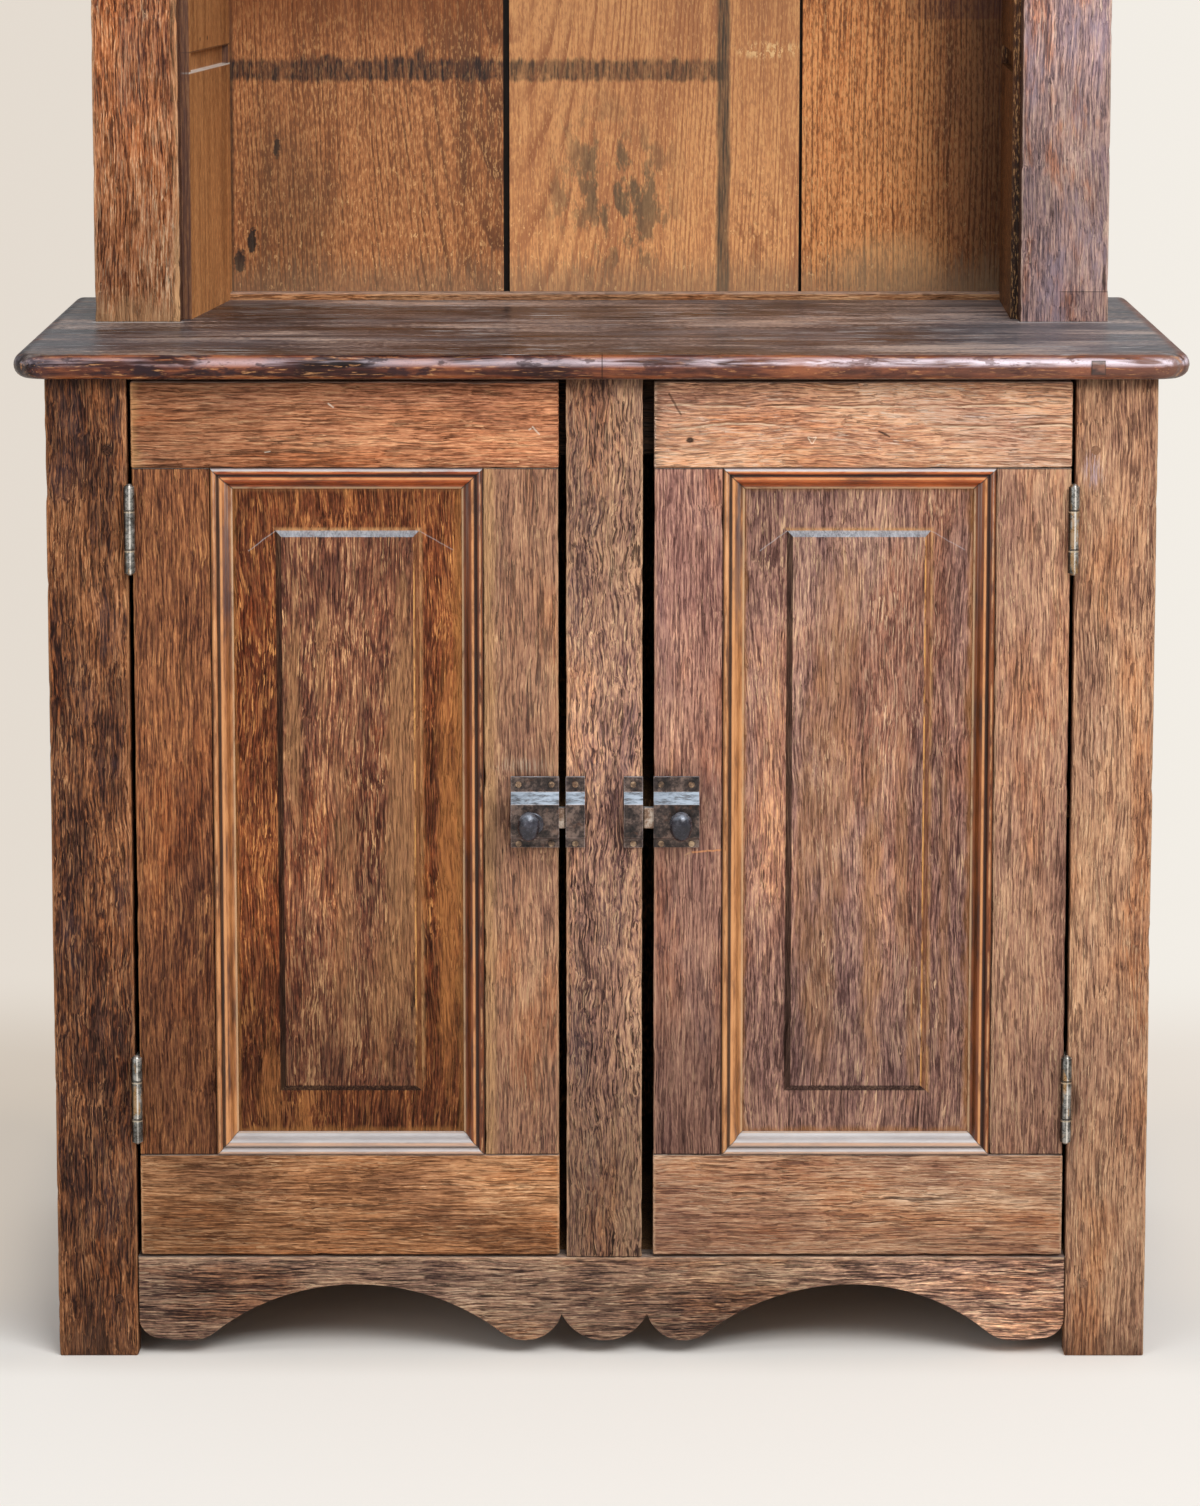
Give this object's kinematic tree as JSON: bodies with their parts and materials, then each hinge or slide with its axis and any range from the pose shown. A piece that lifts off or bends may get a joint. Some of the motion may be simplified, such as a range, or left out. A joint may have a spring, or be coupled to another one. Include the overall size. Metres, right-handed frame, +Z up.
{
  "type": "step back cupboard",
  "caption": "Old wooden step back cupboard: panelled doors with turn latches and butt hinges under a bullnosed counter, open shelved hutch above, scalloped apron below.",
  "frame": {"origin": "middle of the footprint's bounding box, on the floor", "axes": "+Z up, front faces -Y, +X to the right as seen from the front"},
  "size_m": [1.014, 0.5318, 1.898],
  "materials": {
    "stile_oak": "old worn dark brown finish on oak, rubbed through to tan",
    "case_wood": "old dark brown finish, rubbed",
    "door_oak": "worn mid brown finish on oak",
    "panel_wood": "worn purplish brown finish with tan streaks",
    "moulding_wood": "warm orange brown, rubbed",
    "counter_wood": "near-black polished top, reddish brown nosing",
    "back_pine": "aged orange brown pine with stains",
    "shelf_pine": "aged brown pine",
    "inner_wood": "bare aged softwood",
    "peg_wood": "dark end grain",
    "latch_iron": "dark worn iron, brightened on the edges",
    "hinge_steel": "tarnished, grimy",
    "screw_steel": "dark, tarnished"
  },
  "bodies": {
    "carcass": {"apron": "stile_oak", "back_stretcher": "inner_wood", "back_strip": "back_pine", "base_back_boards": "inner_wood", "base_left_side": "case_wood", "base_left_stile": "stile_oak", "base_right_side": "case_wood", "base_right_stile": "stile_oak", "base_shelf": "inner_wood", "bottom_board": "inner_wood", "centre_stile": "stile_oak", "cornice_front": "case_wood", "cornice_left": "case_wood", "cornice_right": "case_wood", "counter": "counter_wood", "frame_pegs": "peg_wood", "front_stretcher": "inner_wood", "hinge_frame_leaves": "hinge_steel", "hinge_frame_screws": "screw_steel", "hinge_pins": "hinge_steel", "hutch_centre_back_board": "back_pine", "hutch_left_back_board": "back_pine", "hutch_left_lining": "back_pine", "hutch_left_side": "case_wood", "hutch_left_stile": "stile_oak", "hutch_lower_shelf": "shelf_pine", "hutch_right_back_board": "back_pine", "hutch_right_lining": "back_pine", "hutch_right_side": "case_wood", "hutch_right_stile": "stile_oak", "hutch_top_rail": "stile_oak", "hutch_upper_shelf": "shelf_pine", "keeper_screws": "screw_steel", "latch_keepers": "latch_iron", "nosing_plug": "counter_wood", "shelf_cleats": "inner_wood", "top_board": "case_wood"},
    "left_door": {"left_door_bottom_rail": "door_oak", "left_door_hinge_leaves": "hinge_steel", "left_door_hinge_stile": "door_oak", "left_door_latch_stile": "door_oak", "left_door_moulding": "moulding_wood", "left_door_panel": "panel_wood", "left_door_screws": "screw_steel", "left_door_top_rail": "door_oak", "left_latch_case": "latch_iron"},
    "left_latch_knob": {"left_latch_knob": "latch_iron"},
    "left_latch_bolt": {"left_latch_bolt": "latch_iron"},
    "right_door": {"right_door_bottom_rail": "door_oak", "right_door_hinge_leaves": "hinge_steel", "right_door_hinge_stile": "door_oak", "right_door_latch_stile": "door_oak", "right_door_moulding": "moulding_wood", "right_door_panel": "panel_wood", "right_door_screws": "screw_steel", "right_door_top_rail": "door_oak", "right_latch_case": "latch_iron"},
    "right_latch_knob": {"right_latch_knob": "latch_iron"},
    "right_latch_bolt": {"right_latch_bolt": "latch_iron"}
  },
  "joints": [
    {"name": "left_door_swing", "type": "hinge", "parent": "carcass", "child": "left_door", "pos_m": [-0.4074, -0.2377, 0.487], "axis": [0, 0, -1], "range_deg": [0, 170]},
    {"name": "left_knob_turn", "type": "hinge", "parent": "left_door", "child": "left_latch_knob", "pos_m": [-0.0602, -0.2446, 0.48245], "axis": [0, 1, 0], "range_deg": [-45, 45]},
    {"name": "left_bolt_slide", "type": "slide", "parent": "left_door", "child": "left_latch_bolt", "axis": [1, 0, 0], "range_m": [-0.00549, 0.00549]},
    {"name": "right_door_swing", "type": "hinge", "parent": "carcass", "child": "right_door", "pos_m": [0.4074, -0.2377, 0.487], "axis": [0, 0, 1], "range_deg": [0, 170]},
    {"name": "right_knob_turn", "type": "hinge", "parent": "right_door", "child": "right_latch_knob", "pos_m": [0.069, -0.2446, 0.48245], "axis": [0, -1, 0], "range_deg": [-45, 45]},
    {"name": "right_bolt_slide", "type": "slide", "parent": "right_door", "child": "right_latch_bolt", "axis": [-1, 0, 0], "range_m": [-0.00549, 0.00549]}
  ],
  "couplings": [
    {"joint": "left_knob_turn", "follows": "left_bolt_slide", "rad_per_m": 142.86},
    {"joint": "right_knob_turn", "follows": "right_bolt_slide", "rad_per_m": 142.86}
  ]
}
